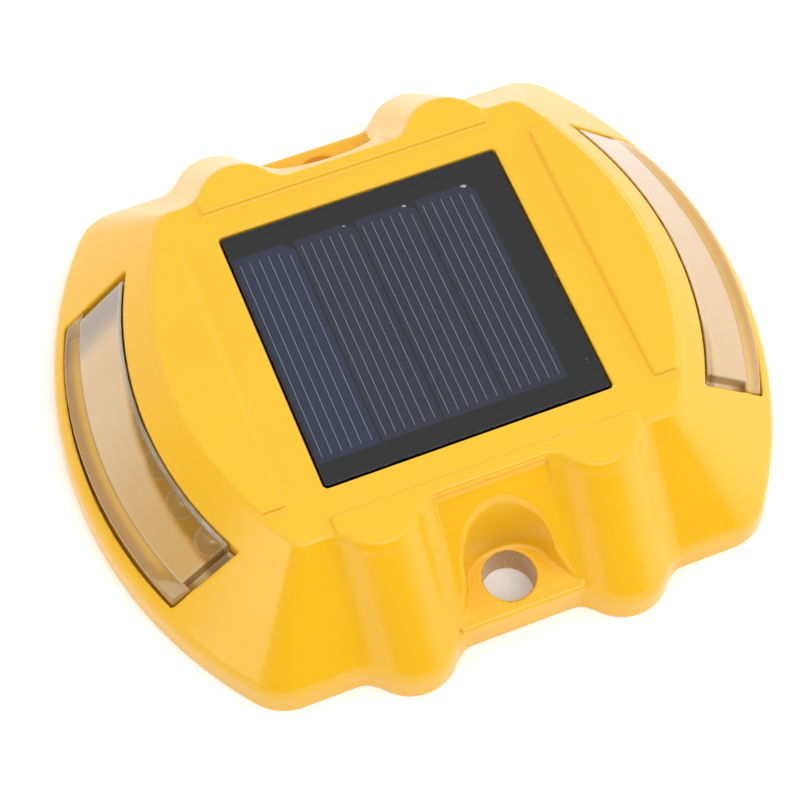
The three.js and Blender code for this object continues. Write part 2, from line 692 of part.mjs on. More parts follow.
addPiece("panel_adhesive", panelAdhesive(), materials.adhesive);
addPiece("panel_backing",
  roundedSquare(BACKING_HALF, PANEL_CORNER_R, backingZ, backingZ + BACKING_T),
  materials.blackBoard);
for (let number = 0; number < CELL_COUNT; number += 1) {
  addPiece(`solar_cell_${number + 1}`, solarCell(number), materials.siliconCell);
}
addPiece("panel_epoxy", roundedSquare(PANEL_HALF, PANEL_CORNER_R, epoxyZ, epoxyZ + EPOXY_T),
  materials.blackEpoxy);

for (const [word, end] of ends) {
  addPiece(`lens_${word}`, lens(end), materials.clearLens);
  addPiece(`led_board_${word}`, ledBoard(end), materials.greenBoard);
  ledYs.forEach((y, i) => addPiece(`led_${word}_${i + 1}`, led(end, y), materials.ledClear));
}

addPiece("controller_board", controllerBoard(), materials.greenBoard);
addPiece("controller_chip", controllerChip(), materials.blackPlastic);
addPiece("choke_coil", chokeCoil(), materials.blackPlastic);
addPiece("capacitor", capacitor(), materials.tinnedMetal);
addPiece("solar_socket", socket(-14, -21), materials.blackPlastic);
addPiece("battery_socket", socket(-14, -5), materials.blackPlastic);

addPiece("battery_cell", batteryCell(), materials.batteryWrap);
addPiece("battery_holder", batteryHolder(), materials.blackPlastic);
for (const [word, end] of ends) {
  addPiece(`battery_contact_${word}`, batteryContact(end), materials.tinnedMetal);
}

// Panel wires drop from the panel's back through the roof to the board.
const boardTopZ = BOARD.low + BOARD.thickness + 0.4;
for (const [word, offset] of [["red", 1], ["black", -1]]) {
  const finish = word === "red" ? materials.redWire : materials.blackWire;
  addPiece(`panel_wire_${word}`, wire([
    [offset, WIRE_HOLE.y, backingZ - 0.2], [offset, WIRE_HOLE.y, CEILING_Z - 1],
    [offset * 2, WIRE_HOLE.y - 2, boardTopZ + 1.5], [offset * 2, WIRE_HOLE.y - 2, boardTopZ],
  ]), finish);
}

// Battery wires run from each contact round to the board's near edge.
for (const [word, end] of ends) {
  const x = end * (BATTERY.length / 2 + 2);
  addPiece(`battery_wire_${word}`, wire([
    [x, BATTERY.y - 3, 17], [x, BATTERY.y - 8, 17.6], [x - end * 4, BATTERY.y - 16, 16.5],
    [x - end * 7, BOARD.centreY + 11, 15.2], [x - end * 7, BOARD.centreY + 11, boardTopZ],
  ]), end > 0 ? materials.redWire : materials.blackWire);
}

// Lamp leads bridge from each LED board to the controller board.
for (const [word, end] of ends) {
  addPiece(`lamp_lead_${word}`, wire([
    [end * 35.2, -14, 14], [end * 32, -14, 15.6], [end * 27, -15, 16.4],
    [end * 22, -16, 15.6], [end * 21.6, -16, boardTopZ],
  ]), materials.blackWire);
}

addPiece("base_plate", basePlate(), materials.blackPlastic);
addPiece("base_seal", baseSeal(), materials.darkRubber);
postPlaces.forEach(([x, y], i) => {
  addPiece(`cover_screw_${i + 1}`, screw(SCREW, x, y, 0.1), materials.zincSteel);
});
[-1, 1].forEach((side, i) => {
  addPiece(`board_screw_${i + 1}`,
    screw(BOARD_SCREW, side * BOARD_POST.x, BOARD.centreY, BOARD.low - BOARD_SCREW.headT - 0.1),
    materials.zincSteel);
});

export default marker;
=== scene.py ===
"""Looks of the solar raised pavement marker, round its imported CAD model.

The cast housing and the two lenses are meshed from distance fields, so that every
edge has its own soft radius, as a casting or a moulding has. Lengths in the fields
are in millimetres and become metres when a piece is made.
"""

import itertools
import math

import bmesh
import bpy
import numpy as np
from mathutils import Euler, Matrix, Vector


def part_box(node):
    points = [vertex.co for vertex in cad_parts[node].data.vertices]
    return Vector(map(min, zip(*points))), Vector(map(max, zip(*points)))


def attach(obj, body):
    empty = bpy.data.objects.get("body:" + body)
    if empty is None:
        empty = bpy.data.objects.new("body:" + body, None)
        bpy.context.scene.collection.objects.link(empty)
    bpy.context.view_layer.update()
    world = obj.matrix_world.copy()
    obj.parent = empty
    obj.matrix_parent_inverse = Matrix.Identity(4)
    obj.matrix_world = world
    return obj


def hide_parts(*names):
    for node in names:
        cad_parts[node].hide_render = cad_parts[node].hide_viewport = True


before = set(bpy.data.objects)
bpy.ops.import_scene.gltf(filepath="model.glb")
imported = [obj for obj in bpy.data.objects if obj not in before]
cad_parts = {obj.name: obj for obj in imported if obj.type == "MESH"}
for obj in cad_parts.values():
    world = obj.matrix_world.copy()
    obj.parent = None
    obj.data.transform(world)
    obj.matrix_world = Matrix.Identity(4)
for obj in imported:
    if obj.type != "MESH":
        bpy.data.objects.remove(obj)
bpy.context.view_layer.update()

MM = 0.001

# ---------------------------------------------------------------- dimensions (mm)

RIM_Z = 5.5
PLATE_Z = 24.65
RAISED_Z = 25.45
BASE = dict(offset=14.5, end=76, corner=9, side=49.7, lobe_y=46.8, lobe_r=8.1, fillet=2.6)
RIM = dict(offset=14.5, end=75.6, corner=8.7, side=49.35, lobe_y=46.5, lobe_r=8, fillet=2.5)
PLATE = dict(offset=16, end=59, corner=3, side=33.3, lobe_y=31.43, lobe_r=7.23, fillet=1.6)
LOBE_X = 19
STEP_Y = 30.75
STEP_LEAN = 0.7
PAD_X = 26.1
CRESCENT_X = 32.4
CRESCENT_Y = 26.1
CRESCENT_R = 58.2
CAVITY_Z = 3
CEILING_Z = 19.25
WALL = 3
SKIN = 4
BOSS = (14.5, 32.3)
BOLT_HOLE_R = 4.47
BOLT_PAD_X = 10.95
BOLT_PAD_INNER_Y = 36
SCOOP_HIGH_Z = 24
FRONT_BOLT = dict(y=43.2, pad_z=7.4, pad_y=49.7, low_half=7.3, low_reach=5.3, low_mouth=10.9,
                  high_half=8.6, high_reach=8.2, high_mouth=11.6)
BACK_BOLT = dict(y=42.9, pad_z=5.2, pad_y=49.4, low_half=8.5, low_reach=4.8, low_mouth=10.9,
                 high_half=10, high_reach=5.6, high_mouth=11.6)
POCKET = dict(x=10, y=33.2, z=23.4)
RECESS = (25.3, 0.8, 20.9)
PANEL_HALF = 24.95
POSTS = (31, 37, 3.5, 2.9, 14, 1.7, 11)
BOARD_POSTS = (19, -13, 2.6, 13.9, 20.5, 1.2, 18)
WIRE_HOLE = (0, -10, 3)
WINDOW_TOP = 0.26
WINDOW_FOOT = 0.89
WINDOW_Y = 28.3
WINDOW_EDGE_LIP = 0.2
WINDOW_EDGE_FOOT = 0.4
WINDOW_EDGE_Z = (8, 11)
FIT = 0.3
LENS_FLOOR_Z = 3.4
LEDGE_SINK = 2.2
BLOCK_RISE = 0.4
BLOCK_FOOT = 0.713
BLOCK_Y = 26.5
BLOCK_LOW_Z = 8
BLOCK_FOOT_R = 71.5
BAND_SWELL = 2.4
LENS_INNER_R = 59.2
LENS_SHOULDER_Z = 14.7
LENS_FLANGE = (70.1, 30.5, 6.4)
LED_ARC_R = 62.9
LED_PITCH = 8.24
LED_Z = 10.3
LED_R = 2.5
LED_BODY = 6.2
LED_BOARD_X = 37.15
LEAD_APART = 1.27
LEAD_HALF = 0.25
LEAD_REACH = {-1: 4.4, 1: 3.6}

# ---------------------------------------------------------------- distance fields


def blend(a, b, share):
    return {key: a[key] + (b[key] - a[key]) * share for key in a}


def both(a, b, radius=0.0):
    """Where a and b overlap, with that radius on the edge between them."""
    if np.isscalar(radius) and not radius:
        return np.maximum(a, b)
    corner = np.hypot(np.maximum(a + radius, 0), np.maximum(b + radius, 0))
    return np.minimum(np.maximum(a, b), -radius) + corner


def either(a, b, radius=0.0):
    return -both(-a, -b, radius)


def without(a, b, radius=0.0):
    return both(a, -b, radius)


def section_field(x, y, section, lobes=True):
    """Distance in plan from an outline of the housing: end arcs, flat sides, lobes."""
    corner_y = section["side"] - section["corner"]
    across = np.sqrt((section["end"] - section["corner"]) ** 2 - corner_y ** 2)
    qx = x - across + section["offset"]
    qy = y - corner_y
    straight = both(np.hypot(x + section["offset"], y) - section["end"], y - section["side"])
    in_corner = (qx > 0) & (qy * across > qx * corner_y)
    field = np.where(in_corner, np.hypot(qx, qy) - section["corner"], straight)
    if not lobes:
        return field
    lobe = np.hypot(x - LOBE_X, y - section["lobe_y"]) - section["lobe_r"]
    return either(field, lobe, 2.4)


def slope_section(z):
    return blend(RIM, PLATE, (z - RIM_Z) / (PLATE_Z - RIM_Z))


def shrink(section, by):
    smaller = dict(section)
    for key in ("end", "side", "corner"):
        smaller[key] = smaller[key] - by
    return smaller


def scoop_field(x, y, z, bolt):
    """The cone-like cut above a bolt pad, open to the outside."""
    share = (z - bolt["pad_z"]) / (SCOOP_HIGH_Z - bolt["pad_z"])
    half, reach, mouth = (
        bolt["low_" + key] + (bolt["high_" + key] - bolt["low_" + key]) * share
        for key in ("half", "reach", "mouth"))
    inward = bolt["y"] - y
    scaled = np.hypot(x / half, inward / reach)
    steep = np.hypot(x / half ** 2, inward / reach ** 2)
    bowl = scaled * (scaled - 1) / np.maximum(steep, 1e-4)
    flare = (mouth - half) / (BASE["side"] - bolt["y"])
    sides = (x - half + flare * inward) / np.sqrt(1 + flare * flare)
    plan = np.where(inward > 0, bowl, sides)
    return both(plan, bolt["pad_z"] - z, 0.55)


def sloped_edge(beyond, z):
    """Distance from the leaning side of a raised patch, whose foot is wider than its top."""
    return (beyond - STEP_LEAN * (RAISED_Z - z)) / math.hypot(1, STEP_LEAN)


def arc_band(x, y, inner, outer):
    """Between two arcs at one end, each (offset, radius)."""
    return both(inner[1] - np.hypot(x + inner[0], y), np.hypot(x + outer[0], y) - outer[1])


def window_arc(share, shift=0.0):
    section = blend(PLATE, RIM, share)
    return section["offset"], section["end"] + shift


def housing_field(x, y, z):
    x, side_y = np.abs(x), y
    y = np.abs(y)
    rim = section_field(x, y, blend(BASE, RIM, z / RIM_Z))
    slope = 0.76 * section_field(x, y, slope_section(z))
    body = both(both(rim, slope, 0.75), z - PLATE_Z, 0.32)

    pad = both(sloped_edge(STEP_Y - y, z), sloped_edge(x - PAD_X, z), 0.3)
    pad = both(both(slope, z - RAISED_Z, 0.22), pad, 0.15)
    crescent = both(both(sloped_edge(CRESCENT_X - x, z), y - CRESCENT_Y, 0.5),
                    sloped_edge(np.hypot(x + PLATE["offset"], y) - CRESCENT_R, z), 0.22)
    crescent = both(crescent, z - RAISED_Z, 0.15)
    raised = both(either(pad, crescent), PLATE_Z - 0.6 - z)
    body = either(body, raised, 0.22)

    bolt = {key: np.where(side_y < 0, FRONT_BOLT[key], BACK_BOLT[key]) for key in FRONT_BOLT}
    block = both(both(x - BOLT_PAD_X, BOLT_PAD_INNER_Y - y),
                 both(y - bolt["pad_y"], z - bolt["pad_z"], 0.3), 0.3)
    body = either(body, block, 0.5)
    pocket = both(both(x - POCKET["x"], POCKET["y"] - y, 0.3),
                  (POCKET["y"] + POCKET["z"] - y - z) / math.sqrt(2), 0.5)
    body = without(body, pocket, 0.4)
    body = without(body, scoop_field(x, y, z, bolt), 0.8)
    body = without(body, np.hypot(x, y - bolt["y"]) - BOLT_HOLE_R, 0.35)

    half, corner, floor = RECESS
    dx, dy = x - half + corner, y - half + corner
    square = np.hypot(np.maximum(dx, 0), np.maximum(dy, 0)) + np.minimum(np.maximum(dx, dy), 0)
    body = without(body, both(square - corner, floor - z), 0.2)

    window = both(arc_band(x, y, window_arc(WINDOW_TOP), window_arc(WINDOW_FOOT)),
                  y - WINDOW_Y, 0.4)
    foot_z, lip_z = WINDOW_EDGE_Z
    edge = WINDOW_EDGE_LIP + (WINDOW_EDGE_FOOT - WINDOW_EDGE_LIP) * np.clip(
        (lip_z - z) / (lip_z - foot_z), 0, 1)
    body = without(body, both(window, CAVITY_Z - z), edge)

    low = shrink(BASE, WALL)
    high = shrink(slope_section(CEILING_Z), SKIN)
    share = np.maximum((z - CAVITY_Z) / (CEILING_Z - CAVITY_Z), 0)
    hollow = both(0.8 * section_field(x, y, blend(low, high, share), False), z - CEILING_Z, 1)
    hollow = without(hollow, both(x - BOSS[0], BOSS[1] - y, 1), 1)
    body = without(body, hollow, 0.3)

    for post, post_y, foot_radius in ((POSTS, y, 0.6), (BOARD_POSTS, side_y, 0.4)):
        px, py, radius, bottom, top, pilot, depth = post
        column = np.hypot(x - px, post_y - py)
        body = either(body, both(both(column - radius, bottom - z), z - top), foot_radius)
        body = without(body, both(column - pilot, z - depth))
    body = without(body, both(np.hypot(x - WIRE_HOLE[0], side_y - WIRE_HOLE[1]) - WIRE_HOLE[2],
                              CEILING_Z - 1 - z), 0.2)
    return both(body, -z, 0.25)


def led_ys():
    return [(number - 2.5) * LED_PITCH for number in range(6)]


def led_x(y):
    return math.sqrt(LED_ARC_R ** 2 - y * y) - window_arc(WINDOW_TOP)[0]


def lens_field(x, y, z):
    """The right-hand lens."""
    def raised(rise):
        section = slope_section(z - rise)
        return 0.72 * (np.hypot(x + section["offset"], y) - section["end"])

    offset, radius = window_arc(WINDOW_TOP, FIT)
    ay = np.abs(y)
    inner = radius - np.hypot(x + offset, y)
    foot = window_arc(WINDOW_FOOT, -FIT)
    outer = np.hypot(x + foot[0], y) - foot[1]
    step = window_arc(BLOCK_FOOT)
    beyond = np.hypot(x + step[0], y) - step[1]
    half_y = WINDOW_Y - FIT
    ledge = both(both(both(inner, outer), ay - half_y, 0.25), raised(-LEDGE_SINK), 0.15)
    width = foot[1] - step[1] + step[0] - foot[0]
    swell = BAND_SWELL * np.clip(beyond / width, 0, 1) * np.clip(1 - (y / half_y) ** 4, 0, 1)
    band = both(both(both(outer, ay - half_y, 0.25), -beyond - FIT), raised(swell), 0.4)
    block = both(both(inner, beyond), ay - BLOCK_Y, 0.2)
    block = both(both(block, raised(BLOCK_RISE), 0.18), BLOCK_LOW_Z - z)
    body = either(both(either(ledge, band, 0.1), LENS_FLOOR_Z - z), block, 0.12)
    back = both(arc_band(x, y, (offset, LENS_INNER_R), (offset, radius + 1)), ay - half_y)
    body = either(body, both(back, both(LENS_FLOOR_Z - z, z - LENS_SHOULDER_Z, 0.3)), 0.1)
    flange_r, flange_y, flange_z = LENS_FLANGE
    flange = both(arc_band(x, y, (offset, LENS_INNER_R), (offset, flange_r)), ay - flange_y)
    body = either(body, both(flange, both(LENS_FLOOR_Z - z, z - flange_z)), 0.1)
    for led_y in led_ys():
        beyond = np.maximum(x - led_x(led_y), 0)
        capsule = np.sqrt(beyond ** 2 + (y - led_y) ** 2 + (z - LED_Z) ** 2) - LED_R - FIT
        body = without(body, capsule, 0.1)
    return body


# ---------------------------------------------------------------- meshes

CELL_CORNERS = list(itertools.product((0, 1), repeat=3))
PROBE = 0.02
DRAWING_ROUNDS = 3
LARGEST_MOVE = 0.3


def surface_net(field, low, high, step, mirrored=False):
    """Vertices and quads where field is 0 on a grid, drawn onto the exact surface."""
    axes = [np.arange(lo, hi + step, step) for lo, hi in zip(low, high)]
    if mirrored:
        axes[0] = np.arange(0, high[0] + step, step)
    x, y, z = (a.astype(np.float32) for a in axes)
    values = field(x[:, None, None], y[None, :, None], z[None, None, :])
    if mirrored:
        values = np.concatenate([values[:0:-1], values])
        axes[0] = np.concatenate([-axes[0][:0:-1], axes[0]])
    inside = values < 0
    corners = [inside[i:inside.shape[0] - 1 + i, j:inside.shape[1] - 1 + j,
                      k:inside.shape[2] - 1 + k] for i, j, k in CELL_CORNERS]
    active = np.logical_or.reduce(corners) & ~np.logical_and.reduce(corners)
    cells = np.argwhere(active)
    number = np.full(active.shape, -1, np.int32)
    number[active] = np.arange(len(cells))

    total = np.zeros((len(cells), 3))
    count = np.zeros(len(cells))
    for corner in CELL_CORNERS:
        for axis in range(3):
            if corner[axis]:
                continue
            start = cells + corner
            end = start.copy()
            end[:, axis] += 1
            a, b = values[tuple(start.T)], values[tuple(end.T)]
            crossed = (a < 0) != (b < 0)
            share = np.where(crossed, a / np.where(crossed, a - b, 1), 0)
            point = start.astype(float)
            point[:, axis] += share
            total += point * crossed[:, None]
            count += crossed
    origin = np.array([a[0] for a in axes])
    vertices = origin + total / count[:, None] * step

    quads = []
    for axis in range(3):
        u, v = (axis + 1) % 3, (axis + 2) % 3
        before = [slice(None)] * 3
        after = [slice(None)] * 3
        before[axis], after[axis] = slice(0, -1), slice(1, None)
        edges = np.argwhere(inside[tuple(before)] != inside[tuple(after)])
        edges = edges[(edges[:, u] > 0) & (edges[:, v] > 0)
                      & (edges[:, u] < inside.shape[u] - 1) & (edges[:, v] < inside.shape[v] - 1)]
        rising = inside[tuple(before)][tuple(edges.T)]
        ring = []
        for du, dv in ((1, 1), (0, 1), (0, 0), (1, 0)):
            cell = edges.copy()
            cell[:, u] -= du
            cell[:, v] -= dv
            ring.append(number[tuple(cell.T)])
        quad = np.stack(ring, 1)
        quad[~rising] = quad[~rising][:, ::-1]
        quads.append(quad)

    for _ in range(DRAWING_ROUNDS):
        here = field(*vertices.T)
        slope = np.stack([
            field(*(vertices + PROBE * np.eye(3)[axis]).T) - here for axis in range(3)
        ], 1) / PROBE
        steepness = np.maximum((slope ** 2).sum(1), 0.05)
        move = here[:, None] * slope / steepness[:, None]
        vertices -= np.clip(move, -LARGEST_MOVE * step, LARGEST_MOVE * step)
    return vertices, np.concatenate(quads)


def add_mesh(name, vertices, faces, finishes, indices=None):
    mesh = bpy.data.meshes.new(name)
    mesh.from_pydata((np.asarray(vertices) * MM).tolist(), [], np.asarray(faces).tolist())
    return add_object(name, mesh, finishes, indices)


def add_object(name, mesh, finishes, indices=None):
    for finish in finishes:
        mesh.materials.append(finish)
    if indices is not None:
        mesh.polygons.foreach_set("material_index", np.asarray(indices, np.int32))
    mesh.shade_smooth()
    piece = bpy.data.objects.new(name, mesh)
    bpy.context.collection.objects.link(piece)
    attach(piece, "root")
    return piece


class Builder:
    """Collects bevelled boxes and turned shapes into one piece, in millimetres."""

    def __init__(self):
        self.mesh = bmesh.new()

    def take(self, part, index):
        for face in part.faces:
            face.material_index = index
            face.smooth = True
        scratch = bpy.data.meshes.new("scratch")
        part.to_mesh(scratch)
        part.free()
        self.mesh.from_mesh(scratch)
        bpy.data.meshes.remove(scratch)

    def box(self, low, high, bevel=0.1, index=0, segments=2):
        part = bmesh.new()
        bmesh.ops.create_cube(part, size=1)
        size = Vector(high) - Vector(low)
        middle = (Vector(high) + Vector(low)) / 2
        for vertex in part.verts:
            vertex.co = Vector(a * b for a, b in zip(vertex.co, size)) + middle
        bmesh.ops.bevel(part, geom=part.edges[:], offset=bevel, segments=segments,
                        affect="EDGES", profile=0.5, clamp_overlap=True)
        self.take(part, index)

    def prism(self, outline, z0, z1, bevel=0.0, index=0):
        part = bmesh.new()
        bottom = [part.verts.new((x, y, z0)) for x, y in outline]
        top = [part.verts.new((x, y, z1)) for x, y in outline]
        part.faces.new(bottom[::-1])
        upper = part.faces.new(top)
        for i in range(len(outline)):
            j = (i + 1) % len(outline)
            part.faces.new((bottom[i], bottom[j], top[j], top[i]))
        if bevel:
            bmesh.ops.bevel(part, geom=upper.edges[:], offset=bevel, segments=2,
                            affect="EDGES", profile=0.5, clamp_overlap=True)
        self.take(part, index)

    def turned(self, profile, at, axis, sides=32, index=0):
        """profile is [(radius, distance along axis)] from axis to axis."""
        part = bmesh.new()
        turn = Vector(axis).to_track_quat("Z", "Y").to_matrix()
        rings = []
        for radius, along in profile:
            if radius < 1e-6:
                rings.append([part.verts.new(Vector(at) + turn @ Vector((0, 0, along)))])
                continue
            rings.append([part.verts.new(Vector(at) + turn @ Vector((
                radius * math.cos(2 * math.pi * i / sides),
                radius * math.sin(2 * math.pi * i / sides), along))) for i in range(sides)])
        for lower, upper in zip(rings, rings[1:]):
            for i in range(sides):
                j = (i + 1) % sides
                if len(lower) == 1:
                    part.faces.new((lower[0], upper[j], upper[i]))
                elif len(upper) == 1:
                    part.faces.new((lower[i], lower[j], upper[0]))
                else:
                    part.faces.new((lower[i], lower[j], upper[j], upper[i]))
        self.take(part, index)

    def piece(self, name, *finishes):
        bmesh.ops.scale(self.mesh, vec=(MM, MM, MM), verts=self.mesh.verts[:])
        mesh = bpy.data.meshes.new(name)
        self.mesh.to_mesh(mesh)
        self.mesh.free()
        return add_object(name, mesh, finishes)


def sharpened(piece, degrees=35):
    piece.data.set_sharp_from_angle(angle=math.radians(degrees))
    return piece


# ---------------------------------------------------------------- finishes


class Finish:
    """A material, with short ways to add its nodes."""

    def __init__(self, name, tree=None):
        if tree is None:
            self.material = bpy.data.materials.new(name)
            self.material.use_nodes = True
            tree = self.material.node_tree
            tree.nodes.clear()
            self.output = tree.nodes.new("ShaderNodeOutputMaterial")
        self.tree = tree

    def node(self, kind, sockets=None, **settings):
        made = self.tree.nodes.new("ShaderNode" + kind)
        for key, value in settings.items():
            setattr(made, key, value)
        for key, value in (sockets or {}).items():
            if isinstance(value, bpy.types.NodeSocket):
                self.tree.links.new(value, made.inputs[key])
            else:
                made.inputs[key].default_value = value
        return made

    def math(self, operation, *values, clamp=False):
        return self.node("Math", dict(enumerate(values)), operation=operation,
                         use_clamp=clamp).outputs[0]

    def place(self):
        """The point's place in metres: x, y and z sockets."""
        coordinates = self.node("TexCoord").outputs["Object"]
        return self.node("SeparateXYZ", {0: coordinates}).outputs

    def noise(self, scale, detail=2, roughness=0.5, stretch=None):
        vector = self.node("TexCoord").outputs["Object"]
        if stretch:
            vector = self.node("Mapping", {"Vector": vector, "Scale": stretch}).outputs[0]
        return self.node("TexNoise", {
            "Vector": vector, "Scale": scale, "Detail": detail, "Roughness": roughness,
        }).outputs["Fac"]

    def ramp(self, value, low, high, to_low=0.0, to_high=1.0):
        return self.node("MapRange", {
            "Value": value, "From Min": low, "From Max": high, "To Min": to_low,
            "To Max": to_high,
        }, interpolation_type="SMOOTHSTEP").outputs["Result"]

    def mix(self, share, a, b):
        made = self.node("Mix", data_type="RGBA")
        for key, value in ((0, share), (6, a), (7, b)):
            if isinstance(value, bpy.types.NodeSocket):
                self.tree.links.new(value, made.inputs[key])
            elif key:
                made.inputs[key].default_value = (*value, 1)
            else:
                made.inputs[key].default_value = value
        return made.outputs[2]

    def bump(self, height, distance, strength=1.0):
        return self.node("Bump", {
            "Height": height, "Distance": distance, "Strength": strength,
        }).outputs[0]

    def principled(self, colour, roughness, **sockets):
        values = {"Roughness": roughness}
        values["Base Color"] = (*colour, 1) if isinstance(colour, tuple) else colour
        values.update({key.replace("_", " "): value for key, value in sockets.items()})
        return self.node("BsdfPrincipled", values).outputs[0]

    def outer_shine(self, ior, roughness, **sockets):
        """Share and shader of the reflection off a clear piece's outer side."""
        facing = self.node("Fresnel", {"IOR": ior}).outputs[0]
        outside = self.math("SUBTRACT", 1.0, self.node("NewGeometry").outputs["Backfacing"])
        shine = self.node("BsdfGlossy", {
            "Color": (1, 1, 1, 1), "Roughness": roughness, **sockets}).outputs[0]
        return self.math("MULTIPLY", facing, outside), shine

    def layered(self, share, under, over):
        return self.node("MixShader", {0: share, 1: under, 2: over}).outputs[0]

    def done(self, shader):
        self.tree.links.new(shader, self.output.inputs["Surface"])
        return self.material


def plain(name, colour, roughness, grain=900, depth=0.00002, variation=0.25, **sockets):
    """A moulded, painted or metal surface with mottling, uneven gloss and fine grain."""
    f = Finish(name)
    dark = tuple(c * (1 - variation) for c in colour)
    shade = f.mix(f.ramp(f.noise(grain / 6, 3), 0.35, 0.7), colour, dark)
    gloss = f.ramp(f.noise(grain / 3, 3), 0.3, 0.7, roughness * 0.8, roughness * 1.25)
    relief = f.bump(f.noise(grain, 3), depth, 0.6)
    return f.done(f.principled(shade, gloss, Normal=relief, **sockets))


def yellow_coat():
    """Powder coat on cast aluminium; inside the front bolt hole it is brown, for worn metal and
    painted shade of the hole.
    """
    f = Finish("yellow_coat")
    x, y, z = f.place()
    tint = f.mix(f.ramp(f.noise(40, 2), 0.3, 0.7), (0.845, 0.455, 0.0105), (0.86, 0.47, 0.0115))
    tint = f.mix(f.ramp(f.noise(1500, 1), 0.76, 0.79, 0, 0.3), tint, (0.35, 0.2, 0.02))
    off_axis = f.math("ADD", y, FRONT_BOLT["y"] * MM)
    radius = f.math("SQRT", f.math("ADD", f.math("MULTIPLY", x, x),
                                   f.math("MULTIPLY", off_axis, off_axis)))
    ragged = f.math("MULTIPLY_ADD", f.noise(1400, 2), 0.0005, (BOLT_HOLE_R - 0.16) * MM)
    in_hole = f.math("LESS_THAN", radius, ragged)
    wall = f.ramp(radius, (BOLT_HOLE_R + 0.02) * MM, (BOLT_HOLE_R + 0.1) * MM, 1, 0)
    pad_z = FRONT_BOLT["pad_z"]
    below = f.ramp(f.math("MULTIPLY_ADD", f.noise(900, 4), 0.0016, z),
                   (pad_z + 0.2) * MM, (pad_z + 0.6) * MM, 1, 0)
    # inside the front bolt hole and round its ragged edge: brown for worn metal, with painted
    # shade on the hole's inner wall
    worn_and_shaded = f.math("MAXIMUM", in_hole, f.math("MULTIPLY", wall, below))
    brown = f.mix(f.noise(1600, 3), (0.42, 0.22, 0.05), (0.66, 0.41, 0.13))
    colour = f.mix(worn_and_shaded, tint, brown)
    gloss = f.ramp(f.noise(300, 2), 0.3, 0.7, 0.2, 0.25)
    peel = f.bump(f.noise(380, 1), 0.00002, 0.12)
    return f.done(f.principled(colour, gloss, Normal=peel))


def arc_radius(f, offset):
    """The point's distance in plan from the centre of the arcs at its own end."""
    x, y, _ = f.place()
    across = f.math("ADD", f.math("ABSOLUTE", x), offset * MM)
    return f.math("SQRT", f.math("ADD", f.math("MULTIPLY", across, across),
                                 f.math("MULTIPLY", y, y)))


LED_ZONE_R = (63.4, 64.8)
LIP_R = (64.4, 64.1)
LIP_SPLIT_R = (64.0, 64.2)
BAND_OUTER_R = 73.4
FAR_END_Y = (18.5, 25)


